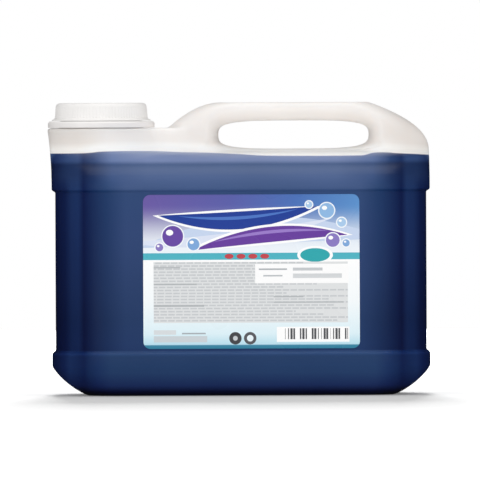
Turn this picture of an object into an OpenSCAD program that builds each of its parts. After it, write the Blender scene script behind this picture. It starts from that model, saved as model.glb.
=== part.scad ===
/* [Body] */
// Width across the bumper bands
body_w = 256; // [240:1:280]
// Depth across the bumper bands, front to back
body_d = 144; // [130:1:160]
// Size of the rounded upright corners, seen from above
corner = 30; // [22:1:36]
// Thickness of the blown wall
wall = 1.6; // [1.2:0.1:2.2]
// How far the lower edge is cut back under the body
base_cut = 25; // [20:1:32]
// Height of the cut-back lower edge
base_rise = 20.5; // [15:0.5:26]
// Width of the rim that the jug stands on
rim_w = 10; // [8:1:14]
// Depth of the push-up inside the rim
push_up = 2.5; // [1.5:0.5:4]
// Height of the lower bumper band
band_h = 9; // [6:0.5:14]
// Height of the recessed panel between the bumper bands
panel_h = 109; // [100:1:124]
// Depth of the recessed panel
recess = 2.4; // [1.6:0.1:3.2]
// Height of the slope between a bumper band and the panel
step_h = 2.4; // [1.6:0.1:3.2]

/* [Shoulder] */
// Rise of the rounded shoulder above the panel
shoulder_h = 25; // [22:1:32]
// Width of the hollow curve between shoulder and handle
hollow_w = 15; // [11:1:18]
// Rise of the hollow curve, from the shoulder to the neck deck
deck_rise = 16.5; // [13:0.5:20]

/* [Handle] */
// Thickness of the handle, front to back
handle_t = 38; // [34:1:42]
// Length of the hand hole
grip_l = 102; // [92:1:110]
// Height of the hand hole
grip_h = 19; // [18:0.5:24]
// Distance of the hand hole's middle from the middle of the jug
grip_x = 36; // [30:1:40]
// Height of the sill under the hand hole, above the shoulder
sill_h = 2; // [1.5:0.5:5]
// Height of the bar over the hand hole
bar_h = 12.5; // [12:0.5:16]
// Radius of the bar's upper edges
bar_edge = 4; // [2.5:0.5:6]
// Length of the slope from the neck deck up to the bar
nose_run = 34; // [28:1:38]
// Widening of the hand hole towards its outer faces, at the bar
bar_flare = 9; // [6:0.5:10]
// Widening of the hand hole towards its outer faces, at its ends
end_flare = 8; // [5:0.5:10]
// Widening of the hand hole towards its outer faces, at the sill
sill_flare = 1.2; // [0.5:0.1:2]

/* [Neck] */
// Distance of the neck's axis from the middle of the jug
neck_x = 94.5; // [92:0.5:98]
// Bore of the neck
neck_bore = 50; // [44:1:52]
// Wall of the neck
neck_wall = 2.8; // [2.4:0.1:3.2]
// Height of the neck above its deck
neck_h = 14; // [13:0.5:19]
// Distance from the neck's outside to the inside of the cap, where the threads run
thread_room = 1.8; // [1.4:0.1:2.4]
// Width of the deck outside the tamper ring
deck_margin = 0.6; // [0.4:0.1:1.5]
// Radius of the deck's upper edge
deck_edge = 0.8; // [0.4:0.1:1.2]

/* [Cap] */
// Thickness of the cap's skirt
cap_wall = 1.9; // [1.5:0.1:2.4]
// Thickness of the cap's top
cap_top = 1.8; // [1.4:0.1:2.4]
// Radius of the cap's upper edge
cap_edge = 2.6; // [1.5:0.1:3.2]
// Width of the flared foot of the cap's skirt
cap_foot = 2.2; // [1:0.1:2.6]
// Height of the flared foot of the cap's skirt
cap_foot_h = 1.6; // [1:0.1:2]
// Number of grip ribs round the cap
rib_count = 90; // [60:6:120]
// Height of the grip ribs above the skirt
rib_d = 0.3; // [0.2:0.05:0.5]
// Thickness of the sealing disc
liner_t = 1; // [0.8:0.1:1.6]
// Width of the tamper ring's ledge outside the cap's skirt
ring_ledge = 4.7; // [4:0.1:5.5]
// Height of the tamper ring
ring_h = 4.2; // [4:0.1:6]
// Thickness of the tamper ring's walls
ring_wall = 1.2; // [1:0.1:1.5]

/* [Fill and label] */
// How far the liquid stands below the shoulder's highest inside face
fill_drop = 0.3; // [0.2:0.1:10]
// Width of the label
label_w = 146; // [110:1:150]
// Height of the label
label_h = 104; // [80:1:106]
// Distance of the label's middle from the middle of the jug
label_x = 7; // [-10:1:12]
// Radius of the label's corners
label_r = 4.8; // [3:0.2:8]
// Thickness of the label film
label_t = 0.2; // [0.1:0.05:0.4]

/* [Clearances] */
// Gap between the liquid and the wall
fill_gap = 0.2; // [0.1:0.05:0.5]
// Gap between the cap, the tamper ring and the deck
ring_gap = 0.4; // [0.3:0.05:0.6]
// Gap at the faces and rim of the sealing disc
liner_gap = 0.1; // [0.05:0.05:0.3]

/* [Hidden] */

$fn = 96;
eps = 0.01;

// Shape of the rounded corners: 1 is a straight cut, 2 is a round
body_round = 1.5;
base_round = 1.3;
full_round = 2;
// Shape of the hand hole's ends: 2 is an ellipse, more is squarer
grip_round = 3.7;
// Rise of the slope from the deck up to the bar: 1 is straight, less is more rounded at the top
nose_bend = 0.55;
// Fall of the handle's right end down to the body: 1 is straight, more is rounder
end_bend = 2.25;
// Points along the front of a body section and a handle section, and round the hand hole
body_points = 22;
handle_points = 16;
grip_points = 36;
// Least half depth of a section, so that its front and back never meet
least_depth = 0.4;
// Width over which the neck's tower blends into the handle, seen from above
tower_blend = 14;
// How far the tower spreads where it stands on the shoulder
tower_spread = 9;
// How far the hollow curve runs in under the handle's sides
sink = 0.8;
// How far the neck's retaining bead stands out past the inside of the cap
bead_reach = 1.6;
// Thickness of the collar at the neck's foot
collar_t = 0.8;
// Depth over which the hand hole flares, as a share of the handle's half thickness
flare_share = 1.15;

half_w = body_w / 2;
half_d = body_d / 2;
half_t = handle_t / 2;
panel_y = half_d - recess;

// Levels, from the base up
band_z = base_rise + band_h;
panel_z = band_z + panel_h;
shoulder_z = panel_z + step_h / 2;
shoulder_top = shoulder_z + shoulder_h;
sill_z = shoulder_top + sill_h;
grip_z = sill_z + grip_h / 2;
top_z = sill_z + grip_h + bar_h;
deck_z = shoulder_top + deck_rise;
fill_inset = wall + fill_gap;
fill_z = shoulder_top - fill_inset - fill_drop;

// Radii at the neck, from the bore out
bore_r = neck_bore / 2;
neck_r = bore_r + neck_wall;
cap_in_r = neck_r + thread_room;
cap_r = cap_in_r + cap_wall;
ring_r = cap_r + ring_ledge;
tower_r = ring_r + deck_margin;

// Levels at the neck, from the deck up
rim_z = deck_z + neck_h;
ring_z = deck_z + ring_gap;
ring_top = ring_z + ring_h;
skirt_z = ring_top + ring_gap;
liner_z = rim_z + liner_gap;
cap_inside_z = liner_z + liner_t + liner_gap;
cap_z = cap_inside_z + cap_top;

// The retaining bead on the neck, held inside the tamper ring
bead_z = ring_z + ring_wall + ring_gap;
bead_h = ring_h - ring_wall - ring_gap;
bead_r = cap_in_r + bead_reach;
collar_r = neck_r + collar_t;

// A section of the jug:
// [level, left end, right end, half depth, roundness, tower radius, side of the wall, corner size]
// The wall lies inside a section (1), or outside it in the push-up (-1)
function section(z, cut, side = 1) =
    [z, cut - half_w, half_w - cut, half_d - cut, body_round, 0, side, cut_corner(cut)];

// The upright corners get smaller where the base is cut back
function cut_corner(cut) = max(corner - cut / 2, corner / 3);

// Cut-back lower edge, with the push-up inside the standing rim
function base_sections() = concat(
    [section(push_up, base_cut + rim_w + push_up, -1)],
    [section(0, base_cut + rim_w, -1)],
    [for (t = [90:-18:0])
        section(base_rise * (1 - pow(sin(t), 2 / base_round)),
                base_cut * (1 - pow(cos(t), 2 / base_round)))]);

// Lower bumper band, recessed panel and the foot of the upper band
function step_cut(s) = recess * (1 - cos(180 * s)) / 2;
function panel_sections() = concat(
    [for (s = [0:1 / 3:1]) section(band_z + step_h * (s - 0.5), step_cut(s))],
    [for (s = [0:1 / 3:1]) section(panel_z + step_h * (s - 0.5), step_cut(1 - s))]);

// The left end leans out to the neck's tower, and the right end falls off from the bar
lean = neck_x + tower_r - half_w;
function left_end(z) = -half_w - lean * pow((z - shoulder_z) / (deck_z - shoulder_z), 2);
bar_end = grip_x + grip_l / 2;
function fall(z) = pow(max(0, (z - shoulder_top) / (top_z - shoulder_top)), end_bend);
function right_end(z) = bar_end + (half_w - bar_end) * (1 - fall(z));

// Rounded shoulder, turned in steps
turn_step = 11.25;
turn_d = half_t + hollow_w;
function shoulder_section(t) =
    let (z = shoulder_z + shoulder_h * sin(t))
    [z, left_end(z), right_end(z), turn_d + (half_d - turn_d) * cos(t),
     body_round + (full_round - body_round) * sin(t), t > 45 ? tower_r + tower_spread : 0, 1, corner];

// Hollow curve up to the deck, with the tower for the neck at its left end
hollow_rise = deck_rise - deck_edge;
function hollow_section(t) =
    let (z = shoulder_top + hollow_rise * (1 - cos(t)))
    [z, left_end(z), right_end(z), half_t - sink + (hollow_w + sink) * (1 - sin(t)), full_round,
     tower_r + tower_spread * (1 - sin(t)), 1, corner];

// Rounded edge of the deck
function deck_section(t) =
    let (z = deck_z - deck_edge * (1 - sin(t)), r = tower_r - deck_edge * (1 - cos(t)))
    [z, -neck_x - r, right_end(z), half_t - sink, full_round, r, 1, corner];

// Slope from the deck to the bar, the bar itself and its rounded upper edges
nose_top = grip_x - grip_l / 2;
function nose_end(z) =
    nose_top - nose_run * pow(min(1, max(0, (top_z - z) / (top_z - deck_z))), nose_bend);
function bar_section(z, depth) =
    [z, nose_end(z), right_end(z), depth, full_round, 0, 1, corner];
bar_side = top_z - bar_edge - deck_z;
function handle_sections() = concat(
    [bar_section(shoulder_top + hollow_rise / 2, half_t)],
    [for (u = [0, 0.12, 0.3, 0.5, 0.7, 0.85]) bar_section(deck_z + u * bar_side, half_t)],
    [for (t = [0:22.5:90])
        bar_section(top_z - bar_edge * (1 - sin(t)), half_t - bar_edge * (1 - cos(t)))]);

function body_sections() = concat(
    base_sections(),
    panel_sections(),
    [for (t = [turn_step:turn_step:90]) shoulder_section(t)],
    [for (t = [18:18:90]) hollow_section(t)],
    [for (t = [45, 90]) deck_section(t)]);

// The same section drawn in by the thickness t of a wall, up from the base and down from the tops
function lift(z) = lookup(z, [[0, 1], [base_rise, 0], [shoulder_z, 0], [shoulder_top, -1]]);
function drawn_in(s, t) =
    let (d = t * s[6])
    [s[0] + t * lift(s[0]), s[1] + d, s[2] - d, s[3] - d, s[4], max(0, s[5] - t), s[6], s[7]];

// Half depth of a section at x
function smooth_max(a, b, width) =
    let (h = max(width - abs(a - b), 0) / width) max(a, b) + h * h * width / 4;
function plain_depth(s, x) =
    let (c = min(s[7], s[3]), e = max(0, 1 - min(x - s[1], s[2] - x) / c))
    s[3] - c * (1 - pow(max(0, 1 - pow(e, s[4])), 1 / s[4]));
function tower_depth(s, x) = sqrt(max(0, pow(s[5], 2) - pow(x + neck_x, 2)));
function depth_at(s, x) =
    max(least_depth, s[5] == 0 ? plain_depth(s, x)
        : smooth_max(plain_depth(s, x), tower_depth(s, x), tower_blend));

// Outline of a section: along the front from left to right, then back along the rear
function section_x(s, i, n) = s[1] + (s[2] - s[1]) * (1 - cos(180 * i / n)) / 2;
function section_points(s, n) = concat(
    [for (i = [0:n]) let (x = section_x(s, i, n)) [x, -depth_at(s, x), s[0]]],
    [for (i = [n:-1:0]) let (x = section_x(s, i, n)) [x, depth_at(s, x), s[0]]]);

// A closed solid through a list of rings that have the same number of points
module loft(rings) {
    n = len(rings[0]);
    last = (len(rings) - 1) * n;
    points = [for (r = rings) each r];
    sides = [for (k = [0:len(rings) - 2], i = [0:n - 1])
        let (a = k * n + i, b = k * n + (i + 1) % n)
        each [[a, a + n, b + n], [a, b + n, b]]];
    polyhedron(points, concat(
        [[for (i = [0:n - 1]) i]],
        sides,
        [[for (i = [n - 1:-1:0]) last + i]]));
}

// The solid through some sections, drawn in by t
module skin(sections, t, n) {
    loft([for (s = sections) section_points(drawn_in(s, t), n)]);
}

// The hand hole, widened by t, with flared faces front and back
flare_d = half_t * flare_share;
flare_end = 1 - sqrt(1 - pow(half_t / flare_d, 2));
function flare(y, t) =
    (1 - sqrt(1 - min(1, pow(y / (flare_d - t), 2)))) / flare_end;
function squarish(c) = sign(c) * pow(abs(c), 2 / grip_round);
function grip_ring(y, t) =
    let (f = flare(y, t),
         length = grip_l / 2 + t + end_flare * f,
         up = grip_h / 2 + t + bar_flare * f,
         down = grip_h / 2 + t + sill_flare * f)
    [for (i = [0:grip_points - 1])
        let (a = -360 * i / grip_points, s = squarish(sin(a)))
        [grip_x + length * squarish(cos(a)), y, grip_z + (s > 0 ? up : down) * s]];
module grip_hole(t) {
    reach = turn_d + 2 * hollow_w / 3;
    depths = [for (a = [-75:25:75]) (flare_d - t) * sin(a)];
    rows = concat([-reach], depths, [reach]);
    loft([for (y = rows) grip_ring(y, t)]);
}

// Body and handle as one solid with the hand hole through it, all drawn in by t
module jug_form(t) {
    difference() {
        union() {
            skin(body_sections(), t, body_points);
            skin(handle_sections(), t, handle_points);
        }
        grip_hole(t);
    }
}

// The blown shell, set to its height, with the opening under the neck
module shell() {
    resize([0, 0, top_z])
    difference() {
        jug_form(0);
        jug_form(wall);
        translate([-neck_x, 0, deck_z - 2 * wall]) cylinder(r = bore_r + neck_wall / 2, h = 3 * wall);
    }
}

// Neck with the bead that holds the tamper ring, let into the deck
module neck() {
    foot_z = deck_z - wall - neck_wall / 4;
    translate([-neck_x, 0, 0])
    rotate_extrude()
    polygon([
        [bore_r, foot_z],
        [collar_r, foot_z],
        [collar_r, bead_z],
        [bead_r, bead_z],
        [bead_r, bead_z + bead_h / 3],
        [neck_r, bead_z + bead_h],
        [neck_r, rim_z],
        [bore_r, rim_z]]);
}

module jug_body() {
    color([0.94, 0.93, 0.92, 0.45])
    union() {
        shell();
        neck();
    }
}

// The liquid fills the jug up to its level
fill_turn = asin((fill_z - shoulder_z) / (shoulder_h - fill_inset));
function fill_sections() = concat(
    base_sections(),
    panel_sections(),
    [for (t = [turn_step:turn_step:90]) if (t < fill_turn - turn_step / 8) shoulder_section(t)],
    [shoulder_section(fill_turn)]);
module liquid() {
    color([0.08, 0.16, 0.36])
    skin(fill_sections(), fill_inset, body_points);
}

// A flat sheet with round corners
module rounded_sheet(w, h, r) {
    for (side = [-1, 1], level = [-1, 1])
        translate([side * (w / 2 - r), level * (h / 2 - r)]) circle(r);
    square([w - 2 * r, h], center = true);
    square([w, h - 2 * r], center = true);
}

module front_label() {
    color([0.55, 0.75, 0.85])
    translate([label_x, -panel_y, (band_z + panel_z) / 2])
    rotate([90, 0, 0])
    linear_extrude(label_t)
    rounded_sheet(label_w, label_h, label_r);
}

// A ring of rectangular section
module band(inner, outer, z, h) {
    translate([inner, z]) square([outer - inner, h]);
}

// Tamper ring: an outer wall with a ledge above the bead and a lip under it
module tamper_ring() {
    color([0.93, 0.92, 0.91])
    translate([-neck_x, 0, 0])
    rotate_extrude() {
        band(ring_r - ring_wall, ring_r, ring_z, ring_h);
        band(bead_r + ring_gap, ring_r, ring_top - ring_wall, ring_wall);
        band(collar_r + ring_gap, ring_r, ring_z, ring_wall);
    }
}

// Half outline of the cap, with a rounded upper edge and a flared foot
module cap_outline() {
    square_z = skirt_z + cap_foot_h;
    translate([0, square_z]) square([cap_r, cap_z - cap_edge - square_z]);
    translate([0, cap_z - cap_edge]) square([cap_r - cap_edge, cap_edge]);
    translate([cap_r - cap_edge, cap_z - cap_edge]) intersection() {
        circle(cap_edge);
        square(cap_edge);
    }
    polygon([
        [0, skirt_z],
        [cap_r + cap_foot, skirt_z],
        [cap_r + cap_foot, skirt_z + cap_foot_h / 4],
        [cap_r, square_z],
        [0, square_z]]);
}

// Grip ribs, as one toothed prism round the skirt
module grip_ribs() {
    tooth = 360 / rib_count;
    shape = [[0, 0], [0.25, 1], [0.5, 1], [0.75, 0]];
    translate([0, 0, skirt_z + cap_foot_h + rib_d])
    linear_extrude(cap_z - cap_edge - skirt_z - cap_foot_h - 2 * rib_d)
    polygon([for (i = [0:rib_count - 1], p = shape)
        let (a = (i + p[0]) * tooth, r = cap_r - rib_d + 2 * rib_d * p[1])
        [r * cos(a), r * sin(a)]]);
}

module screw_cap() {
    color([0.95, 0.94, 0.93])
    translate([-neck_x, 0, 0])
    difference() {
        union() {
            rotate_extrude() cap_outline();
            grip_ribs();
        }
        translate([0, 0, skirt_z - eps]) cylinder(r = cap_in_r, h = cap_inside_z - skirt_z + eps);
    }
}

module cap_liner() {
    color([0.85, 0.85, 0.83])
    translate([-neck_x, 0, liner_z]) cylinder(r = cap_in_r - liner_gap, h = liner_t);
}

jug_body();
liquid();
front_label();
tamper_ring();
screw_cap();
cap_liner();
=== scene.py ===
# %% [markdown]
# # A five-litre jug of blue disinfectant
# The jug is one blown bottle of milky polyethylene, wide and low, with a handle that is part of
# the bottle, a short neck with a screw cap at one end, and a printed film label on its front.
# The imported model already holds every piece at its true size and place. This lesson gives the
# pieces their soft moulded edges, their thread and their finishes, and then lights and frames them.

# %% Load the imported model
import bmesh
import bpy
import math
from collections import namedtuple
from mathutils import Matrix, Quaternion, Vector


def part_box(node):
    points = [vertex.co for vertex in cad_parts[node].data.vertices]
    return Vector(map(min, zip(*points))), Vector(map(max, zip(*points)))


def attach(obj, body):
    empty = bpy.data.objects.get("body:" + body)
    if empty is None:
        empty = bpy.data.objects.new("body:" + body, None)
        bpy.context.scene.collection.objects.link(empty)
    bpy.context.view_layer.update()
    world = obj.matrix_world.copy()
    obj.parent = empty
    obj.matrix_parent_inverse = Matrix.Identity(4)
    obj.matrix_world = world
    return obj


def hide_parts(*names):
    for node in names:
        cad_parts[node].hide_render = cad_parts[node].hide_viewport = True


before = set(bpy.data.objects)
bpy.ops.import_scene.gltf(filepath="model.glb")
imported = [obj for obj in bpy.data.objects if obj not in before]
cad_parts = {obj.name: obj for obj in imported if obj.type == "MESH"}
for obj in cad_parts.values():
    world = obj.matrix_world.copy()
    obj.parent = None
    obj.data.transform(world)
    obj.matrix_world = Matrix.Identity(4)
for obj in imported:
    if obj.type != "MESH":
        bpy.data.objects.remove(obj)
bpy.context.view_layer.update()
MM = 0.001

# %% [markdown]
# ## Two helpers
# Blender's shaders work in linear light, but colours are easiest to pick as sRGB hex values, so one
# function turns a hex value into a linear colour. A second one adds a shader node, sets its
# properties, and either sets or links each input that is named.

# %% Helpers for colours and nodes
def hex_colour(code):
    channels = [int(code[i:i + 2], 16) / 255 for i in (0, 2, 4)]
    linear = [c / 12.92 if c <= 0.04045 else ((c + 0.055) / 1.055) ** 2.4 for c in channels]
    return (*linear, 1)


def add(tree, kind, inputs=None, **settings):
    node = tree.nodes.new(kind)
    for name, value in settings.items():
        setattr(node, name, value)
    for socket, value in (inputs or {}).items():
        if isinstance(value, bpy.types.NodeSocket):
            tree.links.new(value, node.inputs[socket])
        else:
            node.inputs[socket].default_value = value
    return node


def new_material(name):
    material = bpy.data.materials.new(name)
    material.use_nodes = True
    return material, material.node_tree, material.node_tree.nodes["Principled BSDF"]


print("milky polyethylene in linear light:", [round(c, 3) for c in hex_colour("F1EEEC")])

# %% [markdown]
# ## The blown shell
# On the real jug a tube of hot plastic is blown against the two halves of a mould, so everything is
# one skin: base, bumper bands, label panel, shoulder, handle and the tower under the neck. It could
# be box-modelled under a subdivision surface, but the shell has to lie on its solid, so it
# is lofted instead: a plain tube gets one ring of points for each level, and every ring is then bent
# to the outline that the jug has at that level.

# %% Sizes of the shell in millimetres
half_w, half_d, half_t = 128, 72, 19
corner, recess, step_h = 30, 2.4, 2.4
base_cut, base_rise, rim_w, push_up = 25, 20.5, 10, 2.5
band_z, panel_z = 29.5, 138.5
shoulder_z, shoulder_top, deck_z, top_z = 139.7, 164.7, 181.2, 198.2
neck_x, tower_r, tower_spread, tower_blend = 94.5, 36.8, 9, 14
hollow_w, deck_edge, sink = 15, 0.8, 0.8
grip_x, grip_z, grip_l, grip_h = 36, 176.2, 102, 19
# Roundness of a corner: 1 is a straight cut, 2 is a round
base_round, body_round, full_round = 1.3, 1.5, 2

Section = namedtuple("Section", "z left right depth roundness tower corner")
print("the shell is", 2 * half_w, "mm wide and", 2 * half_d, "mm deep over its bumper bands")

# %% Outlines of the base and the panel
def spread(start, stop, steps):
    return [start + (stop - start) * i / steps for i in range(steps + 1)]


def band_section(z, cut):
    size = max(corner - cut / 2, corner / 3)
    return Section(z, cut - half_w, half_w - cut, half_d - cut, body_round, 0, size)


def cut_back(turn):
    up, out = math.sin(turn) ** (2 / base_round), math.cos(turn) ** (2 / base_round)
    return band_section(base_rise * (1 - up), base_cut * (1 - out))


def panel_step(z, share):
    return band_section(z, recess * (1 - math.cos(math.pi * share)) / 2)


quarter = math.pi / 2
base = [band_section(push_up, base_cut + rim_w + push_up), band_section(0, base_cut + rim_w)]
base += [cut_back(turn) for turn in spread(quarter, 0, 12)]
panel = [panel_step(band_z + step_h * (s - 0.5), s) for s in spread(0, 1, 6)]
panel += [panel_step(panel_z + step_h * (s - 0.5), 1 - s) for s in spread(0, 1, 6)]
print(len(base), "rings in the base,", len(panel), "in the panel")

# %% Outlines of the shoulder, the hollow curve and the deck under the neck
turn_d = half_t + hollow_w
bar_end = grip_x + grip_l / 2
lean = neck_x + tower_r - half_w
end_bend = 2.25


def left_end(z):
    return -half_w - lean * ((z - shoulder_z) / (deck_z - shoulder_z)) ** 2


def right_end(z):
    fall = max(0, (z - shoulder_top) / (top_z - shoulder_top)) ** end_bend
    return bar_end + (half_w - bar_end) * (1 - fall)


def shoulder_section(turn):
    z = shoulder_z + (shoulder_top - shoulder_z) * math.sin(turn)
    depth = turn_d + (half_d - turn_d) * math.cos(turn)
    tower = tower_r + tower_spread if turn > quarter / 2 else 0
    roundness = body_round + (full_round - body_round) * math.sin(turn)
    return Section(z, left_end(z), right_end(z), depth, roundness, tower, corner)


def hollow_section(turn):
    z = shoulder_top + (deck_z - deck_edge - shoulder_top) * (1 - math.cos(turn))
    depth = half_t - sink + (hollow_w + sink) * (1 - math.sin(turn))
    tower = tower_r + tower_spread * (1 - math.sin(turn))
    return Section(z, left_end(z), right_end(z), depth, full_round, tower, corner)


def deck_section(turn):
    z = deck_z - deck_edge * (1 - math.sin(turn))
    tower = tower_r - deck_edge * (1 - math.cos(turn))
    return Section(z, -neck_x - tower, right_end(z), half_t - sink, full_round, tower, corner)


upper = [shoulder_section(turn) for turn in spread(0, quarter, 16)[1:]]
upper += [hollow_section(turn) for turn in spread(0, quarter, 12)[1:]]
upper += [deck_section(turn) for turn in spread(0, quarter, 3)[1:]]
print(len(upper), "rings from the panel up to the deck")

# %% Outlines of the handle
nose_top, nose_run, bar_edge = grip_x - grip_l / 2, 34, 4
nose_bend = 0.55


def bar_section(z, depth):
    share = min(1, max(0, (top_z - z) / (top_z - deck_z)))
    left = nose_top - nose_run * share ** nose_bend
    return Section(z, left, right_end(z), depth, full_round, 0, corner)


handle = [bar_section((shoulder_top + deck_z) / 2, half_t)]
handle += [bar_section(z, half_t) for z in spread(deck_z, top_z - bar_edge, 16)]
handle += [
    bar_section(top_z - bar_edge * (1 - math.sin(turn)), half_t - bar_edge * (1 - math.cos(turn)))
    for turn in spread(0, quarter, 8)[1:]
]
print(len(handle), "rings in the handle")

# %% [markdown]
# A section's outline runs along X between its two ends. Its depth is even in the middle and falls
# off in the corners, and at the neck's end it swells into a round tower. Where tower and shoulder
# meet, the larger depth wins, with a soft blend between them as the blown skin has.

# %% From a circle to the outline of a section
def corner_depth(section, x):
    size = min(section.corner, section.depth)
    inward = max(0, 1 - min(x - section.left, section.right - x) / size)
    kept = max(0, 1 - inward ** section.roundness) ** (1 / section.roundness)
    return section.depth - size * (1 - kept)


def soft_larger(a, b, width):
    near = max(width - abs(a - b), 0) / width
    return max(a, b) + near * near * width / 4


def depth_at(section, x):
    plain = corner_depth(section, x)
    if section.tower == 0:
        return plain
    tower = math.sqrt(max(0, section.tower ** 2 - (x + neck_x) ** 2))
    return soft_larger(plain, tower, tower_blend)


def outline_point(section, angle):
    middle, reach = (section.left + section.right) / 2, (section.right - section.left) / 2
    x = middle + reach * math.cos(angle)
    y = 0 if abs(math.sin(angle)) < 1e-6 else math.copysign(depth_at(section, x), math.sin(angle))
    return Vector((x, y, section.z))


print("depth of the panel at the middle:", depth_at(panel[6], 0))

# %% [markdown]
# The tube comes from a circle that the spin operator carries upwards without turning it, one step
# for each level. Its ends are closed, and its points are moved last, so the faces never have to be
# listed by hand.

# %% Loft the body and the handle
def tube(rings, segments):
    bm = bmesh.new()
    bmesh.ops.create_circle(bm, segments=segments, radius=1)
    bmesh.ops.spin(bm, geom=bm.edges[:], cent=(0, 0, 0), axis=(0, 0, 1), dvec=(0, 0, 1), angle=0,
                   steps=rings - 1)
    bmesh.ops.holes_fill(bm, edges=bm.edges[:], sides=0)
    return bm


def bend_tube(name, rows, segments, place):
    bm = tube(len(rows), segments)
    for vert in bm.verts:
        vert.co = place(rows[round(vert.co.z)], math.atan2(vert.co.y, vert.co.x)) * MM
    bmesh.ops.recalc_face_normals(bm, faces=bm.faces[:])
    if bm.calc_volume(signed=True) < 0:
        bmesh.ops.reverse_faces(bm, faces=bm.faces[:])
    return link_mesh(name, bm)


def link_mesh(name, bm):
    mesh = bpy.data.meshes.new(name)
    bm.to_mesh(mesh)
    bm.free()
    piece = bpy.data.objects.new(name, mesh)
    bpy.context.scene.collection.objects.link(piece)
    return piece


shell = bend_tube("jug_shell", base + panel + upper, 160, outline_point)
handle_form = bend_tube("handle_form", handle, 120, outline_point)
print("shell loft:", len(shell.data.polygons), "faces, handle loft:", len(handle_form.data.polygons))

# %% Loft the hand hole
flare_share, grip_round = 1.15, 3.7
flare_d = half_t * flare_share
flare_full = 1 - math.sqrt(1 - (half_t / flare_d) ** 2)
bar_flare, end_flare, sill_flare = 9, 8, 1.2


def squarish(c):
    return math.copysign(abs(c) ** (2 / grip_round), c)


def hole_point(y, angle):
    flare = (1 - math.sqrt(1 - min(1, (y / flare_d) ** 2))) / flare_full
    along, up = squarish(math.cos(angle)), squarish(math.sin(angle))
    rise = bar_flare if up > 0 else sill_flare
    x = grip_x + (grip_l / 2 + end_flare * flare) * along
    return Vector((x, y, grip_z + (grip_h / 2 + rise * flare) * up))


reach = turn_d + 10
rows = [-reach] + [flare_d * math.sin(math.radians(a)) for a in range(-76, 77, 8)] + [reach]
hole_form = bend_tube("hole_form", rows, 96, hole_point)
print("hand hole loft:", len(hole_form.data.polygons), "faces")

# %% [markdown]
# The neck's bore has to reach the inside, so a round well is cut down to the liquid as well. The
# forms are joined and cut with Boolean modifiers. A voxel remesh then turns the upper part into one
# even skin, and a few rounds of smoothing melt its creases into the rounded edges of blown plastic.
# The lower part keeps its loft, whose crisp bands a remesh would blur, so the two are cut at one
# level and the open loops are bridged.

# %% Join, cut and soften the shell
liquid_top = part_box("liquid")[1].z
bore_r = 25
well_low, well_depth = liquid_top - 0.0006, 0.04
bm = bmesh.new()
bmesh.ops.create_cone(bm, cap_ends=True, segments=96, radius1=bore_r * MM, radius2=bore_r * MM,
                      depth=well_depth)
bmesh.ops.translate(bm, verts=bm.verts[:], vec=(-neck_x * MM, 0, well_low + well_depth / 2))
well_form = link_mesh("well_form", bm)
lower_loft = shell.data.copy()

for form, operation in ((handle_form, "UNION"), (hole_form, "DIFFERENCE"), (well_form, "DIFFERENCE")):
    join = shell.modifiers.new(form.name, "BOOLEAN")
    join.object, join.operation, join.solver = form, operation, "MANIFOLD"
remesh = shell.modifiers.new("even skin", "REMESH")
remesh.mode, remesh.voxel_size = "VOXEL", 1.1 * MM
smoothing_rounds = 6

evaluated = shell.evaluated_get(bpy.context.evaluated_depsgraph_get())
upper_skin = bmesh.new()
upper_skin.from_mesh(evaluated.to_mesh())
for _ in range(smoothing_rounds):
    bmesh.ops.smooth_vert(upper_skin, verts=upper_skin.verts[:], factor=0.5,
                          use_axis_x=True, use_axis_y=True, use_axis_z=True)
evaluated.to_mesh_clear()
shell.modifiers.clear()
for form in (handle_form, hole_form, well_form):
    bpy.data.objects.remove(form)
print("remeshed skin:", len(upper_skin.faces), "faces")

# %% Put the upper skin on the lower loft
seam_z = 150 * MM


def keep_part(bm, level, above):
    bmesh.ops.bisect_plane(bm, geom=bm.verts[:] + bm.edges[:] + bm.faces[:], dist=1e-7,
                           plane_co=(0, 0, level), plane_no=(0, 0, 1),
                           clear_inner=above, clear_outer=not above)


keep_part(upper_skin, seam_z + 1 * MM, True)
upper_mesh = bpy.data.meshes.new("upper_skin")
upper_skin.to_mesh(upper_mesh)
upper_skin.free()
bm = bmesh.new()
bm.from_mesh(lower_loft)
keep_part(bm, seam_z, False)
bm.from_mesh(upper_mesh)
rims = [edge for edge in bm.edges if edge.is_boundary]
bmesh.ops.bridge_loops(bm, edges=rims)
bmesh.ops.recalc_face_normals(bm, faces=bm.faces[:])
bm.to_mesh(shell.data)
print("open edges bridged:", len(rims), "left open:", sum(edge.is_boundary for edge in bm.edges))
bm.free()
for part in (lower_loft, upper_mesh):
    bpy.data.meshes.remove(part)
shell.data.shade_smooth()

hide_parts("jug_body")
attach(shell, "jug")
print("shell:", sum(len(p.vertices) - 2 for p in shell.data.polygons), "triangles")

# %% [markdown]
# ## Natural polyethylene over blue liquid
# The bottle is natural high-density polyethylene: uncoloured, milky and waxy, with a satin surface
# from the mould. Above the liquid it is white, and where the liquid stands behind it, the wall takes
# the liquid's blue. Real translucency would be slow and noisy, so the tones are painted, and much of
# them is painted light and shade: one ramp of colours runs up the jug and paints shade at the foot, a
# highlight on the lower step and light from above on the shoulder, and others run out from its middle
# and paint the dark bands and lighter streaks of shade in the upright corners.

# %% Colour of the shell by height, with painted light and shade
def set_stops(node, stops):
    ramp = node.color_ramp
    while len(ramp.elements) < len(stops):
        ramp.elements.new(1)
    for element, (position, code) in zip(ramp.elements, stops):
        element.position, element.color = position, hex_colour(code)
    return node.outputs[0]


material, tree, bsdf = new_material("blown natural polyethylene over blue liquid")
place = add(tree, "ShaderNodeTexCoord").outputs["Object"]
axes = add(tree, "ShaderNodeSeparateXYZ", {0: place})
full_height = 200


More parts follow.
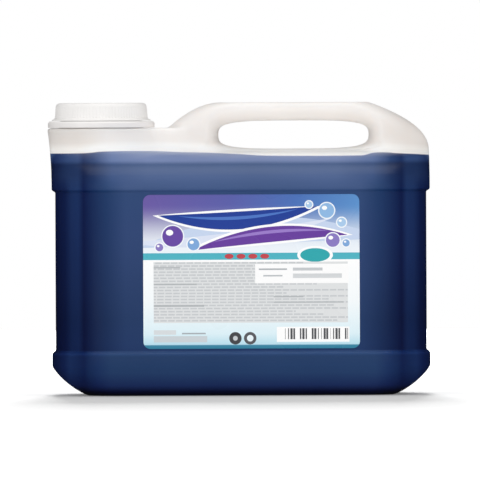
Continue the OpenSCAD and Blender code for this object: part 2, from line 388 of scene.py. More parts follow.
def tone_by_height(stops):
    share = add(tree, "ShaderNodeMath", {0: axes.outputs["Z"], 1: 1 / (full_height * MM)},
                operation="MULTIPLY")
    ramp = add(tree, "ShaderNodeValToRGB", {0: share.outputs[0]})
    return set_stops(ramp, [(z / full_height, code) for z, code in stops])


# Each stop is a height in millimetres and the colour there. The near-black stops at the foot are
# painted shade where the base turns down to the floor, the lighter stop at 29.3 mm is a painted
# highlight on the edge of the lower step, and the paler stops from 140 mm up are painted light
# falling from above on the shoulder.
blue = tone_by_height([
    (0, "000312"), (3, "000734"), (7, "142B60"), (16, "1F3E6C"), (27, "1C3B67"), (29.3, "2D4C7D"),
    (31.2, "1B3768"), (51, "1C3866"), (112, "2F487A"), (137, "314D7E"), (140, "3F5887"),
    (148, "4D6390"), (156.5, "445C88"), (159, "7B8CB7")])
print("blue of the panel in linear light:", [round(c, 3) for c in hex_colour("2F487A")[:3]])

# %% Painted shade in the upright corners of the shell
def tone_by_distance(distance, stops):
    far = add(tree, "ShaderNodeMath", {0: distance}, operation="ABSOLUTE")
    share = add(tree, "ShaderNodeMath", {0: far.outputs[0], 1: 1 / (half_w * MM)}, operation="MULTIPLY")
    ramp = add(tree, "ShaderNodeValToRGB", {0: share.outputs[0]})
    return set_stops(ramp, [(d / half_w, code) for d, code in stops])


# Each stop is a distance in millimetres and how much of the blue is left there: painted shade that
# is darkest in a painted crease line and at the outer edge, with lighter painted streaks between. The
# painted creases stand evenly about a line a little right of the middle.
painted_crease_x, shade_middle = 107.3, 1.2
off_x = add(tree, "ShaderNodeMath", {0: axes.outputs["X"], 1: shade_middle * MM},
            operation="SUBTRACT").outputs[0]
panel_corner_shade = tone_by_distance(off_x, [
    (0, "FFFFFF"), (79, "FFFFFF"), (92, "A2CBDD"), (104, "5285B4"), (painted_crease_x, "26609F"), (111, "7AA8CD"),
    (115.5, "7AA4C9"), (120, "3D6DA5"), (128, "2F5690")])
band_corner_shade = tone_by_distance(off_x, [
    (0, "FFFFFF"), (89, "FFFFFF"), (98, "B6D2EE"), (104, "8EB7DA"), (painted_crease_x, "568DC6"), (112, "80A9D4"),
    (117, "A6BFE4"), (121, "678CC7"), (128, "4B6FA5")])
shoulder_corner_shade = tone_by_distance(off_x, [
    (0, "FFFFFF"), (64, "FFFFFF"), (88, "CDDCEA"), (100, "6086AB"), (painted_crease_x, "315C8D"), (111, "6A8CAE"),
    (118, "6C8BAC"), (128, "3B5A8B")])
above_band = tone_by_height([(30, "000000"), (31, "FFFFFF")])
above_panel = tone_by_height([(139, "000000"), (149, "FFFFFF")])
lower_corner_shade = add(tree, "ShaderNodeMix", {0: above_band, 6: band_corner_shade, 7: panel_corner_shade}, data_type="RGBA")
along = add(tree, "ShaderNodeMix", {0: above_panel, 6: lower_corner_shade.outputs[2], 7: shoulder_corner_shade},
            data_type="RGBA")
# Towards the middle of the end faces the painted corner shade is lifted again, as the lighter of the two
across = tone_by_distance(axes.outputs["Y"], [
    (0, "FFFFFF"), (12, "FFFFFF"), (27, "A0B6CB"), (37, "46678F"), (42, "000000")])
# Painted shade of the corners, as the lighter of the two ramps
swash_width_and_corner_shade = add(tree, "ShaderNodeMix", {0: 1.0, 6: along.outputs[2], 7: across},
            data_type="RGBA", blend_type="LIGHTEN")
# The blue darkened by the painted corner shade
blue_with_painted_shade = add(tree, "ShaderNodeMix", {0: 1.0, 6: blue, 7: swash_width_and_corner_shade.outputs[2]},
                data_type="RGBA", blend_type="MULTIPLY")
print("creases stand", painted_crease_x, "mm from the middle")

# %% [markdown]
# The liquid meets the wall in a line that isn't quite straight. It could be cut into the mesh, but a
# line in the material can be moved without touching the shape. A float curve takes the place along
# the jug and says how far the line dips there. Height and dip together are then the same all along
# the line, so one narrow map range parts wet from dry. The dry wall has painted light just above the
# line and painted shade towards the ends of the jug.

# %% Line of the liquid
level, deepest, line_width = liquid_top / MM + 2.9, 4, 0.25
dips = [(-131, 1.4), (-109, 1.3), (-101, 0.9), (-90, 0.1), (-68, 0), (-41, 0.75), (-28, 1.1), (-1, 2.3),
        (26, 3.5), (81, 3.5), (94, 1.5), (104, 2), (128, 3.3)]
(first_x, first_dip), (last_x, last_dip) = dips[0], dips[-1]
share = add(tree, "ShaderNodeMapRange", {"Value": axes.outputs["X"], "From Min": first_x * MM,
                                         "From Max": last_x * MM})
curve = add(tree, "ShaderNodeFloatCurve", {"Value": share.outputs[0]})
points = curve.mapping.curves[0].points
points[0].location, points[1].location = (0, first_dip / deepest), (1, last_dip / deepest)
for x, dip in dips[1:-1]:
    points.new((x - first_x) / (last_x - first_x), dip / deepest)
curve.mapping.update()
lip = add(tree, "ShaderNodeMath", {0: curve.outputs[0], 1: deepest * MM, 2: axes.outputs["Z"]},
          operation="MULTIPLY_ADD")
wet = add(tree, "ShaderNodeMapRange", {
    "Value": lip.outputs[0], "From Min": (level - line_width) * MM, "From Max": (level + line_width) * MM,
    "To Min": 1, "To Max": 0})
print("line of the liquid:", round(level - max(dip for _, dip in dips), 1), "to", round(level, 1), "mm")

# %% White of the dry wall, with painted light and shade
# Painted light: the white is brightest just above the line of the liquid and evens out higher up
painted_light_top, even_above = level + 3, level + 7
rise = add(tree, "ShaderNodeMapRange", {"Value": lip.outputs[0], "From Min": painted_light_top * MM,
                                        "From Max": even_above * MM})
milk_and_painted_light = add(tree, "ShaderNodeMix", {0: rise.outputs[0], 6: hex_colour("FDFCFA"), 7: hex_colour("EFEBE8")},
           data_type="RGBA")
# Painted shade: the white grows a little darker towards the ends of the jug
painted_end_shade = tone_by_distance(off_x, [(0, "FFFFFF"), (92, "FFFFFF"), (112, "F3F1EF")])
dry = add(tree, "ShaderNodeMix", {0: 1.0, 6: milk_and_painted_light.outputs[2], 7: painted_end_shade},
          data_type="RGBA", blend_type="MULTIPLY")
filled = add(tree, "ShaderNodeMix", {0: wet.outputs[0], 6: dry.outputs[2], 7: blue_with_painted_shade.outputs[2]},
             data_type="RGBA")
print("the white is brightest up to", round(painted_light_top, 1), "mm")

# %% Waves, satin and mould marks of the shell
# The mould's fine peel wouldn't show at its real size, so it is drawn as coarse as 2.2 mm
wave_size, peel_size = 60 * MM, 2.2 * MM
waves = add(tree, "ShaderNodeTexNoise", {"Vector": place, "Scale": 1 / wave_size, "Detail": 1})
shade = add(tree, "ShaderNodeMapRange", {"Value": waves.outputs[0], "From Min": 0.3, "From Max": 0.7,
                                         "To Min": 0.95, "To Max": 1.05})
colour = add(tree, "ShaderNodeVectorMath", {0: filled.outputs[2], 1: shade.outputs[0]}, operation="MULTIPLY")
tree.links.new(colour.outputs[0], bsdf.inputs["Base Color"])

satin = add(tree, "ShaderNodeMapRange", {"Value": waves.outputs[0], "To Min": 0.3, "To Max": 0.42})
tree.links.new(satin.outputs[0], bsdf.inputs["Roughness"])

off_middle = add(tree, "ShaderNodeMath", {0: axes.outputs["Y"]}, operation="ABSOLUTE")
parting = add(tree, "ShaderNodeMapRange", {"Value": off_middle.outputs[0], "From Min": 0.15 * MM,
                                           "From Max": 0.6 * MM, "To Min": 1, "To Max": 0})
peel = add(tree, "ShaderNodeTexNoise", {"Vector": place, "Scale": 1 / peel_size, "Detail": 2})
skin = add(tree, "ShaderNodeMath", {0: peel.outputs[0], 1: 0.12, 2: parting.outputs[0]},
           operation="MULTIPLY_ADD")
bump = add(tree, "ShaderNodeBump", {"Height": skin.outputs[0], "Strength": 0.35, "Distance": 0.25 * MM})
tree.links.new(bump.outputs[0], bsdf.inputs["Normal"])
bsdf.inputs["IOR"].default_value = 1.54
bsdf.inputs["Specular IOR Level"].default_value = 0.35
milky = add(tree, "ShaderNodeMapRange", {"Value": wet.outputs[0], "To Min": 0.8, "To Max": 0.05})
tree.links.new(milky.outputs[0], bsdf.inputs["Subsurface Weight"])
bsdf.inputs["Subsurface Radius"].default_value = (1, 0.95, 0.9)
bsdf.inputs["Subsurface Scale"].default_value = 10 * MM
shell.data.materials.append(material)
print("shell material:", material.name)

# %% [markdown]
# ## The neck and its thread
# The neck is the only part of the bottle with exact sizes, because the cap screws onto it. A small
# outline is spun round the neck's axis for the tube, and a trapezium is spun while it climbs for the
# thread: the spin operator takes a rise for each step, which makes a helix with no formula.

# %% Neck with thread
pitch = 5 * MM
neck_axis = Vector((-neck_x * MM, 0, 0))
neck_r, neck_foot, bead_r = 27.8, 28.6, 31.2
rim_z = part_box("cap_liner")[0].z - 0.1 * MM


def ring_of(bm, outline):
    verts = [bm.verts.new(neck_axis + Vector((r * MM, 0, z * MM))) for r, z in outline]
    return [bm.edges.new((a, b)) for a, b in zip(verts, verts[1:] + verts[:1])]


def spin_ring(bm, edges, steps):
    bmesh.ops.spin(bm, geom=edges, cent=neck_axis, axis=(0, 0, 1), angle=math.tau, steps=steps,
                   use_merge=True)


def spin_thread(bm, outline, turns):
    edges = ring_of(bm, outline)
    verts = [edge.verts[0] for edge in edges]
    face = bm.faces.new(verts)
    steps = round(48 * turns)
    bmesh.ops.spin(bm, geom=verts + edges + [face], cent=neck_axis, axis=(0, 0, 1),
                   angle=math.tau * turns, steps=steps, dvec=(0, 0, pitch * turns / steps))


def soften_edges(bm, offset):
    folds = [edge for edge in bm.edges if len(edge.link_faces) == 2]
    sharp = [edge for edge in folds if edge.calc_face_angle(0) > math.radians(40)]
    bmesh.ops.bevel(bm, geom=sharp, offset=offset, offset_type="OFFSET", segments=2,
                    profile=0.5, affect="EDGES", material=-1)


rim = rim_z / MM
bm = bmesh.new()
spin_ring(bm, ring_of(bm, [
    (bore_r, deck_z - 2), (neck_foot, deck_z - 2), (neck_foot, 183.2), (bead_r, 183.2), (bead_r, 184.1),
    (neck_r, 185.8), (neck_r, rim), (bore_r, rim)]), 128)
soften_edges(bm, 0.35 * MM)
thread_turns = 1.1
spin_thread(bm, [(27.4, 187.0), (27.4, 189.4), (29.0, 188.7), (29.0, 187.7)], thread_turns)
bmesh.ops.remove_doubles(bm, verts=bm.verts[:], dist=1e-6)
bmesh.ops.recalc_face_normals(bm, faces=bm.faces[:])
neck = link_mesh("jug_neck", bm)
neck.data.shade_smooth()
neck.data.set_sharp_from_angle(angle=math.radians(35))
neck.data.materials.append(material)
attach(neck, "jug")
print("neck:", len(neck.data.polygons), "faces, rim at", round(rim, 1), "mm")

# %% [markdown]
# ## The screw cap
# The cap is injection moulded, so unlike the bottle it has an even wall, crisp ribs for the fingers and
# a thread inside. The ribs could be an array of small bars, but on a moulding they grow out of the
# wall. So a half outline is spun round the axis, and of the faces round its side every second pair is
# inset and lifted into a rib.

# %% Cap with grip ribs and thread
cap_low, cap_high = (corner_point.z / MM for corner_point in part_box("screw_cap"))
ribs = 90
bm = bmesh.new()
ribs_low, ribs_high = cap_low + 1.9, cap_high - 2.3
outline = [
    (0, cap_high - 0.5), (24, cap_high - 0.5), (25, cap_high), (28.2, cap_high), (29.4, cap_high - 0.35),
    (30.3, cap_high - 1.1), (30.8, ribs_high), (31.4, ribs_low), (32.2, cap_low + 1.2),
    (33.6, cap_low + 0.5), (33.6, cap_low - 0.1), (29.6, cap_low - 0.1), (29.6, cap_high - 1.8),
    (0, cap_high - 1.8)]
verts = [bm.verts.new(neck_axis + Vector((r * MM, 0, z * MM))) for r, z in outline]
profile = [bm.edges.new(pair) for pair in zip(verts, verts[1:])]
spin_ring(bm, profile, 4 * ribs)
bmesh.ops.remove_doubles(bm, verts=bm.verts[:], dist=1e-6)
bmesh.ops.recalc_face_normals(bm, faces=bm.faces[:])

side_z = (ribs_low + ribs_high) / 2 * MM


def on_grip(face):
    outward = face.calc_center_median() - neck_axis
    level_with = abs(outward.z - side_z) < 0.5 * MM
    return level_with and face.normal.dot(outward) > 0 and outward.xy.length > 30 * MM


def bearing(face):
    outward = face.calc_center_median() - neck_axis
    return math.atan2(outward.y, outward.x)


side = sorted((face for face in bm.faces if on_grip(face)), key=bearing)
raised = [face for i, face in enumerate(side) if i % 4 < 2]
bmesh.ops.inset_region(bm, faces=raised, thickness=0.2 * MM, depth=0.12 * MM, use_even_offset=True)
spin_thread(bm, [(30.0, 189.4), (28.2, 190.1), (28.2, 191.1), (30.0, 191.8)], thread_turns)
bmesh.ops.recalc_face_normals(bm, faces=bm.faces[:])
cap = link_mesh("cap", bm)
cap.data.shade_smooth()
cap.data.set_sharp_from_angle(angle=math.radians(30))
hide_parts("screw_cap")
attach(cap, "cap")
print("cap:", len(cap.data.polygons), "faces,", len(raised) // 2, "ribs")

# %% [markdown]
# ## The tamper ring
# The ring snaps over the neck's bead and stays there when the cap is turned off. It is a thin
# moulding with an outer wall, a ledge above the bead and a lip below it, again one spun outline.

# %% Tamper ring
ring_low, ring_high = (corner_point.z / MM for corner_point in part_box("tamper_ring"))
bm = bmesh.new()
ring_wall = 1.2
spin_ring(bm, ring_of(bm, [
    (29.1, ring_low), (36.2, ring_low - 0.2), (36.2, ring_high - ring_wall), (35.2, ring_high),
    (31.7, ring_high), (31.7, ring_high - ring_wall), (34.9, ring_high - ring_wall),
    (34.9, ring_low + ring_wall), (29.1, ring_low + ring_wall)]), 128)
soften_edges(bm, 0.3 * MM)
bmesh.ops.recalc_face_normals(bm, faces=bm.faces[:])
ring = link_mesh("ring", bm)
ring.data.shade_smooth()
ring.data.set_sharp_from_angle(angle=math.radians(35))
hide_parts("tamper_ring")
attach(ring, "jug")
print("ring:", len(ring.data.polygons), "faces")

# %% [markdown]
# ## White mouldings
# The cap is polypropylene and the ring polyethylene, both coloured white in the mass, so they are more
# opaque than the bottle. The mould's spark-eroded finish shows as very fine grain, which is drawn
# coarser than the real one so that it shows at all.

# %% Material of the cap and the ring
cloud_size, grain_size = 20 * MM, 0.8 * MM


def moulded_white(name, code, roughness):
    material, tree, bsdf = new_material(name)
    place = add(tree, "ShaderNodeTexCoord").outputs["Object"]
    cloud = add(tree, "ShaderNodeTexNoise", {"Vector": place, "Scale": 1 / cloud_size, "Detail": 2})
    tint = add(tree, "ShaderNodeMapRange", {"Value": cloud.outputs[0], "From Min": 0.3, "From Max": 0.7,
                                            "To Min": 0.97, "To Max": 1.02})
    colour = add(tree, "ShaderNodeVectorMath", {0: hex_colour(code)[:3], 1: tint.outputs[0]},
                 operation="MULTIPLY")
    tree.links.new(colour.outputs[0], bsdf.inputs["Base Color"])
    grain = add(tree, "ShaderNodeTexNoise", {"Vector": place, "Scale": 1 / grain_size, "Detail": 2})
    bump = add(tree, "ShaderNodeBump", {"Height": grain.outputs[0], "Strength": 0.15, "Distance": 0.05 * MM})
    tree.links.new(bump.outputs[0], bsdf.inputs["Normal"])
    satin = add(tree, "ShaderNodeMapRange", {"Value": cloud.outputs[0], "To Min": roughness - 0.05,
                                             "To Max": roughness + 0.05})
    tree.links.new(satin.outputs[0], bsdf.inputs["Roughness"])
    bsdf.inputs["IOR"].default_value = 1.49
    return material


cap.data.materials.append(moulded_white("moulded white polypropylene", "F8F6F4", 0.34))
ring.data.materials.append(moulded_white("moulded white polyethylene", "F6F3F1", 0.38))
print("white mouldings:", cap.name, ring.name)

# %% [markdown]
# ## Seal and liquid
# The sealing disc is cut from foam sheet, which shows as small closed cells. The liquid is a
# clear, deep blue, with a still surface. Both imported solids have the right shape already,
# so only their materials change.

# %% Materials of the sealing disc and the liquid
def dress(node, material):
    node.data.materials.clear()
    node.data.materials.append(material)


foam, tree, bsdf = new_material("closed-cell polyethylene foam")
place = add(tree, "ShaderNodeTexCoord").outputs["Object"]
cell_size = 0.6 * MM
cells = add(tree, "ShaderNodeTexVoronoi", {"Vector": place, "Scale": 1 / cell_size})
tint = add(tree, "ShaderNodeValToRGB", {0: cells.outputs["Distance"]})
tint.color_ramp.elements[0].color = hex_colour("E6E5E1")
tint.color_ramp.elements[1].color = hex_colour("D2D1CC")
tree.links.new(tint.outputs[0], bsdf.inputs["Base Color"])
bump = add(tree, "ShaderNodeBump", {"Height": cells.outputs["Distance"], "Strength": 0.3,
                                    "Distance": 0.1 * MM})
tree.links.new(bump.outputs[0], bsdf.inputs["Normal"])
bsdf.inputs["Roughness"].default_value = 0.7
dress(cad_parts["cap_liner"], foam)

disinfectant, tree, bsdf = new_material("clear blue disinfectant")
place = add(tree, "ShaderNodeTexCoord").outputs["Object"]
cloud = add(tree, "ShaderNodeTexNoise", {"Vector": place, "Scale": 1 / (50 * MM), "Detail": 1})
tint = add(tree, "ShaderNodeValToRGB", {0: cloud.outputs[0]})
tint.color_ramp.elements[0].color = hex_colour("142A5C")
tint.color_ramp.elements[1].color = hex_colour("1C3873")
tree.links.new(tint.outputs[0], bsdf.inputs["Base Color"])
bsdf.inputs["Roughness"].default_value = 0.06
bsdf.inputs["IOR"].default_value = 1.34
dress(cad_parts["liquid"], disinfectant)
print("dressed:", foam.name, "and", disinfectant.name)

# %% [markdown]
# ## The printed film label
# The label is white plastic film with offset print, wrapped flat onto the recessed panel. Its print is
# a generic one: a field that fades from violet and blue to white, two swashes and some bubbles, a
# turquoise stripe, and below it a grey block of lines as small print looks from a step away. All of
# it is drawn from simple shapes in millimetres, measured from the label's lower left corner, so
# nothing has to be painted as an image.

# %% Places on the label in millimetres
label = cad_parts["front_label"]
label_low, label_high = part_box("front_label")
film, tree, bsdf = new_material("offset-printed white polypropylene film")
place = add(tree, "ShaderNodeTexCoord").outputs["Object"]
from_corner = add(tree, "ShaderNodeVectorMath", {0: place, 1: label_low}, operation="SUBTRACT")
in_mm = add(tree, "ShaderNodeVectorMath", {0: from_corner.outputs[0], "Scale": 1 / MM}, operation="SCALE")
sides = add(tree, "ShaderNodeSeparateXYZ", {0: in_mm.outputs[0]})
u, v = sides.outputs["X"], sides.outputs["Z"]
label_w, label_h = (label_high - label_low).x / MM, (label_high - label_low).z / MM
stripe_low, stripe_high, fade_high = 60, 64.6, 98
print("label:", round(label_w), "x", round(label_h), "mm")

# %% Ground colours of the print
low_share = add(tree, "ShaderNodeMapRange", {"Value": v, "From Max": label_h})
low_field = set_stops(add(tree, "ShaderNodeValToRGB", {0: low_share.outputs[0]}), [
    (0, "2F7F9E"), (2.4 / label_h, "3D8AA8"), (2.8 / label_h, "B9E0EE"), (10 / label_h, "DDF1F8"),
    (32 / label_h, "F5FAFC"), (stripe_low / label_h, "FFFFFF")])
top_share = add(tree, "ShaderNodeMapRange", {"Value": u, "From Max": label_w})
top_field = set_stops(add(tree, "ShaderNodeValToRGB", {0: top_share.outputs[0]}), [
    (0, "6C5BA6"), (0.4, "5C60AC"), (0.7, "4B72BB"), (1, "5B92CE")])
fade = add(tree, "ShaderNodeMapRange", {"Value": v, "From Min": stripe_high + 1, "From Max": fade_high},
           interpolation_type="SMOOTHSTEP")
upper_field = add(tree, "ShaderNodeMix", {0: fade.outputs[0], 6: hex_colour("EEF4FA"), 7: top_field},
                  data_type="RGBA")
above = add(tree, "ShaderNodeMath", {0: v, 1: stripe_low}, operation="GREATER_THAN")
ground = add(tree, "ShaderNodeMix", {0: above.outputs[0], 6: low_field, 7: upper_field.outputs[2]},
             data_type="RGBA")
print("the upper field fades over", round(fade_high - stripe_high), "mm")

# %% [markdown]
# Three kinds of shape are enough for the print. A box compares both places with its middle, an oval
# measures the distance from its middle after both places were divided by its radii, and a swash is a
# curved band that gets thinner towards its ends.

# %% Shapes of the print
def box_mask(left, right, low, high):
    inside_u = add(tree, "ShaderNodeMath", {0: u, 1: (left + right) / 2, 2: (right - left) / 2},
                   operation="COMPARE").outputs[0]
    inside_v = add(tree, "ShaderNodeMath", {0: v, 1: (low + high) / 2, 2: (high - low) / 2},
                   operation="COMPARE").outputs[0]
    return add(tree, "ShaderNodeMath", {0: inside_u, 1: inside_v}, operation="MULTIPLY").outputs[0]


def oval_mask(x, z, wide, high):
    shift = add(tree, "ShaderNodeVectorMath", {0: in_mm.outputs[0], 1: (x, 0, z)}, operation="SUBTRACT")
    scaled = add(tree, "ShaderNodeVectorMath", {0: shift.outputs[0], 1: (1 / wide, 0, 1 / high)},
                 operation="MULTIPLY")
    far = add(tree, "ShaderNodeVectorMath", {0: scaled.outputs[0]}, operation="LENGTH")
    return add(tree, "ShaderNodeMath", {0: far.outputs["Value"], 1: 1}, operation="LESS_THAN").outputs[0]


def swash_mask(middle, half, z, lift, bend, swash_width_and_corner_shade):
    t = add(tree, "ShaderNodeMapRange", {"Value": u, "From Min": middle - half, "From Max": middle + half,
                                         "To Min": -1, "To Max": 1}, clamp=False).outputs[0]
    square = add(tree, "ShaderNodeMath", {0: t, 1: t}, operation="MULTIPLY").outputs[0]
    line = add(tree, "ShaderNodeMath", {0: t, 1: lift, 2: z}, operation="MULTIPLY_ADD").outputs[0]
    curve = add(tree, "ShaderNodeMath", {0: square, 1: bend, 2: line}, operation="MULTIPLY_ADD").outputs[0]
    off = add(tree, "ShaderNodeMath", {0: v, 1: curve}, operation="SUBTRACT").outputs[0]
    far = add(tree, "ShaderNodeMath", {0: off}, operation="ABSOLUTE").outputs[0]
    room = add(tree, "ShaderNodeMath", {0: square, 1: -swash_width_and_corner_shade, 2: swash_width_and_corner_shade}, operation="MULTIPLY_ADD").outputs[0]
    return add(tree, "ShaderNodeMath", {0: far, 1: room}, operation="LESS_THAN").outputs[0]


layers = [(swash_mask(80, 84, 80, 3, -9, 9), "C7D6EF"), (swash_mask(58, 70, 74, 8, 6, 4), "DDE4F5")]
layers.append((box_mask(-1, label_w + 1, stripe_low, stripe_high), "4FB5C5"))
for middle, half, z, lift, bend, swash_width_and_corner_shade, code, pale in (
        (64, 54, 86.5, 3, 6.5, 6, "21409A", "4C76C6"), (86, 52, 77, 5, -5.5, 5.2, "6A3FA0", "9B7CCB")):
    layers.append((swash_mask(middle, half + 3.5, z, lift, bend, swash_width_and_corner_shade + 1.6), "FFFFFF"))
    layers.append((swash_mask(middle, half, z, lift, bend, swash_width_and_corner_shade), code))
    layers.append((swash_mask(middle, 0.75 * half, z + 1.7, 0.75 * lift, 0.56 * bend, 1.1), pale))
for x, z, size, code in (
        (20, 76, 7, "6A4AA6"), (34, 70.5, 4, "7FA9DC"), (11, 68.5, 2.6, "8C7CC4"), (124, 93, 5, "8FB9E4"),
        (134, 85, 3, "A9CBEC"), (128, 73, 4.6, "8C7CC4"), (137, 71, 2.4, "7FA9DC"), (112, 97, 2.2, "A9CBEC")):
    layers.append((oval_mask(x, z, size + 0.8, size + 0.8), "F4F8FC"))
    layers.append((oval_mask(x, z, size, size), code))
    layers.append((oval_mask(x - 0.3 * size, z + 0.35 * size, 0.35 * size, 0.28 * size), "FFFFFF"))
for x in (58, 66, 74, 82):
    layers.append((oval_mask(x, (stripe_low + stripe_high) / 2, 3, 1.7), "C8474F"))
layers += [(oval_mask(116, 63, 12, 6), "FFFFFF"), (oval_mask(116, 63, 10, 4.6), "2FA9B0")]
print(len(layers), "shapes above the small print")

# %% Small print, as lines broken into words
block = box_mask(7, 138, 17.5, 58.5)
row_pitch, word_pitch = 2.05, 5.3
row = add(tree, "ShaderNodeMath", {0: v, 1: row_pitch}, operation="DIVIDE").outputs[0]
row_number = add(tree, "ShaderNodeMath", {0: row}, operation="FLOOR").outputs[0]
row_share = add(tree, "ShaderNodeMath", {0: row}, operation="FRACT").outputs[0]
in_line = add(tree, "ShaderNodeMath", {0: row_share, 1: 0.5}, operation="LESS_THAN").outputs[0]
chance = add(tree, "ShaderNodeTexWhiteNoise", {"W": row_number}, noise_dimensions="1D").outputs["Value"]
start_of_row = add(tree, "ShaderNodeMath", {0: chance, 1: 40, 2: u}, operation="MULTIPLY_ADD").outputs[0]
word = add(tree, "ShaderNodeMath", {0: start_of_row, 1: word_pitch}, operation="DIVIDE").outputs[0]
word_share = add(tree, "ShaderNodeMath", {0: word}, operation="FRACT").outputs[0]
in_word = add(tree, "ShaderNodeMath", {0: word_share, 1: 0.84}, operation="LESS_THAN").outputs[0]
row_end = add(tree, "ShaderNodeMath", {0: chance, 1: 70, 2: 95}, operation="MULTIPLY_ADD").outputs[0]
before_end = add(tree, "ShaderNodeMath", {0: u, 1: row_end}, operation="LESS_THAN").outputs[0]
ink = block
for part in (in_line, in_word, before_end):
    ink = add(tree, "ShaderNodeMath", {0: ink, 1: part}, operation="MULTIPLY").outputs[0]
layers += [(block, "E0E2E3"), (ink, "C8CBCE")]
for left, right, low, high in (
        (7, 25, 54.4, 55.2), (7, 36, 43, 44), (7, 41, 28.4, 29.6), (88, 108, 34.5, 35.3),
        (88, 135, 30.8, 31.6)):
    layers.append((box_mask(left, right, low, high), "B2B6B9"))
layers += [(box_mask(75.5, 138.5, 44, 57), "FDFDFD"), (box_mask(78, 97, 53, 54), "A9AEB3"),
           (box_mask(81, 94, 48.6, 49.6), "B9BEC2"), (box_mask(101, 121, 52.5, 54.5), "C6CACD"),
           (box_mask(101, 134, 47.5, 50.5), "D4D7D9")]
print("a line every", row_pitch, "mm, a word every", word_pitch, "mm")

# %% Foot of the label
bars = box_mask(95, 138, 6.2, 13.6)
fine = add(tree, "ShaderNodeMath", {0: u, 1: 3.1}, operation="MULTIPLY").outputs[0]
beat = add(tree, "ShaderNodeMath", {0: u, 1: 0.83}, operation="MULTIPLY").outputs[0]
fine_wave = add(tree, "ShaderNodeMath", {0: fine}, operation="SINE").outputs[0]
beat_wave = add(tree, "ShaderNodeMath", {0: beat}, operation="SINE").outputs[0]
both_waves = add(tree, "ShaderNodeMath", {0: fine_wave, 1: beat_wave}, operation="ADD").outputs[0]
dark_bar = add(tree, "ShaderNodeMath", {0: both_waves, 1: 0.1}, operation="GREATER_THAN").outputs[0]
bar_ink = add(tree, "ShaderNodeMath", {0: bars, 1: dark_bar}, operation="MULTIPLY").outputs[0]
layers += [(box_mask(90, 139, 4.4, 14.6), "FFFFFF"), (bar_ink, "55565A")]
layers += [(box_mask(7, 22, 9.6, 12.6), "D7DCDF"), (box_mask(7, 43, 4.4, 8.6), "CBD3D8"),
           (box_mask(26, 42, 9.8, 10.8), "A7AFB5")]
layers += [(oval_mask(62, 7, 4.2, 4.2), "4A4A4E"), (oval_mask(72, 7, 4.2, 4.2), "5B5B60"),
           (oval_mask(72, 7, 2.2, 2.2), "E9F4F9"), (oval_mask(62, 7, 1.6, 1.6), "C9CDD0")]

colour = ground.outputs[2]
for mask, code in layers:
    colour = add(tree, "ShaderNodeMix", {0: mask, 6: colour, 7: hex_colour(code)},
                 data_type="RGBA").outputs[2]
tree.links.new(colour, bsdf.inputs["Base Color"])
print(len(layers), "shapes on the label")

# %% [markdown]
# The film is glossier than the bottle, but it lies on a blown wall, so its gloss is broken by slow
# waves. The film's edge is too thin to show.

# %% Gloss and waves of the film
wave = add(tree, "ShaderNodeTexNoise", {"Vector": place, "Scale": 1 / (30 * MM), "Detail": 1})
gloss = add(tree, "ShaderNodeMapRange", {"Value": wave.outputs[0], "To Min": 0.22, "To Max": 0.34})
tree.links.new(gloss.outputs[0], bsdf.inputs["Roughness"])
bump = add(tree, "ShaderNodeBump", {"Height": wave.outputs[0], "Strength": 0.2, "Distance": 0.3 * MM})
tree.links.new(bump.outputs[0], bsdf.inputs["Normal"])
bsdf.inputs["IOR"].default_value = 1.49
bsdf.inputs["Specular IOR Level"].default_value = 0.35
dress(label, film)
print("dressed:", film.name)

# %% [markdown]
# ## The studio
# The jug stands on matt white paper, which shows nothing but a soft shadow and glows into pure white
# further out, so no horizon shows. The paper is hidden from the jug's own reflections and bounced
# light, because a white floor would wash out the dark lower edge.

# %% Floor
bm = bmesh.new()
bmesh.ops.create_circle(bm, cap_ends=True, segments=96, radius=3)
floor = link_mesh("floor", bm)
paper, tree, bsdf = new_material("white paper sweep")
place = add(tree, "ShaderNodeTexCoord").outputs["Object"]
far = add(tree, "ShaderNodeVectorMath", {0: place}, operation="LENGTH")
glow = add(tree, "ShaderNodeMapRange", {"Value": far.outputs["Value"], "From Min": 0.3, "From Max": 1.8,
                                        "To Min": 0.14, "To Max": 1}, interpolation_type="SMOOTHSTEP")
bsdf.inputs["Base Color"].default_value = hex_colour("BEBEBE")
bsdf.inputs["Roughness"].default_value = 1
bsdf.inputs["Specular IOR Level"].default_value = 0
bsdf.inputs["Emission Color"].default_value = (1, 1, 1, 1)
tree.links.new(glow.outputs[0], bsdf.inputs["Emission Strength"])
floor.data.materials.append(paper)
floor.visible_diffuse = floor.visible_glossy = False
print("floor:", len(floor.data.polygons), "face")

# %% [markdown]
# A wide soft light overhead brightens the shoulder and gives the only gloss. Two large soft lights
# stand in front, low on either side, and one behind lights the white top from the back. A last one
# lies far behind and reaches only the floor, through light linking: it draws the long soft shadow
# towards the camera and leaves the jug alone. The surroundings light matt surfaces evenly but hardly
# show in the gloss, so the upright corners keep their dark bands.

# %% Lights
def soft_light(name, place, aim, width, height, power, gloss=True):
    light = bpy.data.lights.new(name, "AREA")
    light.shape, light.size, light.size_y, light.energy = "RECTANGLE", width, height, power
    lamp = bpy.data.objects.new(name, light)
    lamp.location = place
    lamp.rotation_euler = (Vector(aim) - Vector(place)).to_track_quat("-Z", "Y").to_euler()
    lamp.visible_camera, lamp.visible_glossy = False, gloss
    bpy.context.scene.collection.objects.link(lamp)
    return lamp


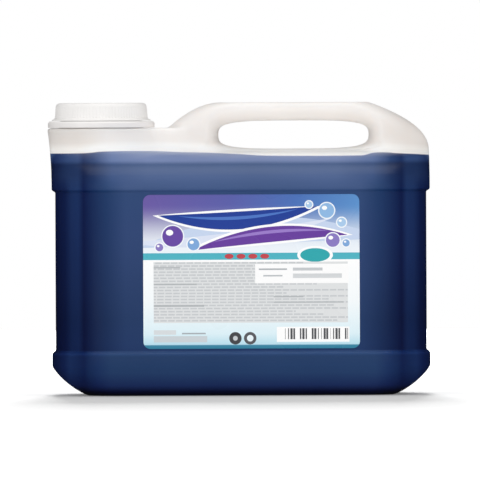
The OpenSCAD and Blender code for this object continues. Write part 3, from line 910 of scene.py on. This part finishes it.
soft_light("overhead", (0, -0.15, 1.5), (0, 0, 0), 1.2, 0.7, 3.6)
soft_light("key", (-0.6, -1.8, 0.3), (0, 0, 0.1), 1.2, 0.9, 6.6, gloss=False)
soft_light("fill", (0.7, -1.8, 0.2), (0, 0, 0.1), 1.2, 0.6, 6.6, gloss=False)
soft_light("back", (0, 3, 1.55), (0, -0.3, 0), 0.6, 1.9, 45, gloss=False)

floor_only = bpy.data.collections.new("floor only")
floor_only.objects.link(floor)
floor_light = soft_light("floor light", (0, 6, 2.5), (0, -0.3, 0), 1.1, 4.0, 1000, gloss=False)
floor_light.light_linking.receiver_collection = floor_only

world = bpy.data.worlds.new("studio")
world.use_nodes = True
tree = world.node_tree
sky = tree.nodes["Background"]
sky.inputs["Color"].default_value = (1, 1, 1, 1)
rays = add(tree, "ShaderNodeLightPath")
around = add(tree, "ShaderNodeMapRange", {"Value": rays.outputs["Is Diffuse Ray"], "To Min": 0.01,
                                          "To Max": 0.72})
tree.links.new(around.outputs[0], sky.inputs["Strength"])
backdrop = add(tree, "ShaderNodeBackground", {"Color": (1, 1, 1, 1), "Strength": 1})
both = add(tree, "ShaderNodeMixShader", {0: rays.outputs["Is Camera Ray"], 1: sky.outputs[0],
                                         2: backdrop.outputs[0]})
tree.links.new(both.outputs[0], tree.nodes["World Output"].inputs["Surface"])
bpy.context.scene.world = world
bpy.context.scene.view_settings.view_transform = "Standard"

# %% [markdown]
# The camera stands far off at almost the jug's own height, with a long lens, so the front shows with
# hardly any perspective. The lens follows from the width that the picture spans at the jug.

# %% Camera
frame_width = 0.3261
distance, camera_z = 10.0, 0.19
aim = Vector((-0.0006, 0, 0.1047))
roll = -0.25
lens = bpy.data.cameras.new("camera")
lens.sensor_width = 36
lens.lens = lens.sensor_width * distance / frame_width
camera = bpy.data.objects.new("camera", lens)
camera.location = (aim.x, -distance, camera_z)
level_view = (aim - camera.location).to_track_quat("-Z", "Y")
camera.rotation_euler = (level_view @ Quaternion((0, 0, 1), math.radians(roll))).to_euler()
bpy.context.scene.collection.objects.link(camera)
bpy.context.scene.camera = camera
print("focal length:", round(lens.lens), "mm")
